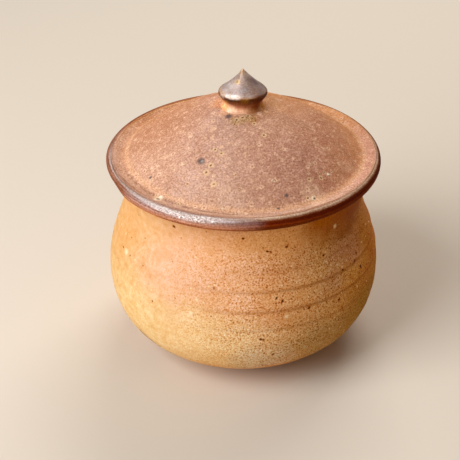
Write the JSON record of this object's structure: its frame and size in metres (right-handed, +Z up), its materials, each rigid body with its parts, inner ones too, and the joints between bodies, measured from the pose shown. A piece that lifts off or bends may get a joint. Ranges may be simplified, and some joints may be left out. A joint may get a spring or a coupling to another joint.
{
  "type": "salt jar",
  "caption": "Round-bellied stoneware salt jar with a drawn-in neck and foot ring, and a loose domed lid with a pointed knob and a ring that drops into the mouth.",
  "frame": {"origin": "centre of the foot ring's standing face", "axes": "+Z up along the axis that the jar was thrown on"},
  "size_m": [0.1108, 0.1108, 0.1174],
  "materials": {
    "pot_stoneware": "satin",
    "lid_stoneware": "satin",
    "knob_ash_glaze": "gloss"
  },
  "bodies": {
    "pot": {"jar_body": "pot_stoneware"},
    "lid": {"lid_plate": "lid_stoneware", "lid_locating_ring": "lid_stoneware", "lid_knob": "knob_ash_glaze"}
  },
  "joints": [
    {"name": "lid_lift", "type": "slide", "parent": "pot", "child": "lid", "axis": [0, 0, 1], "range_m": [0, 0.06]}
  ]
}
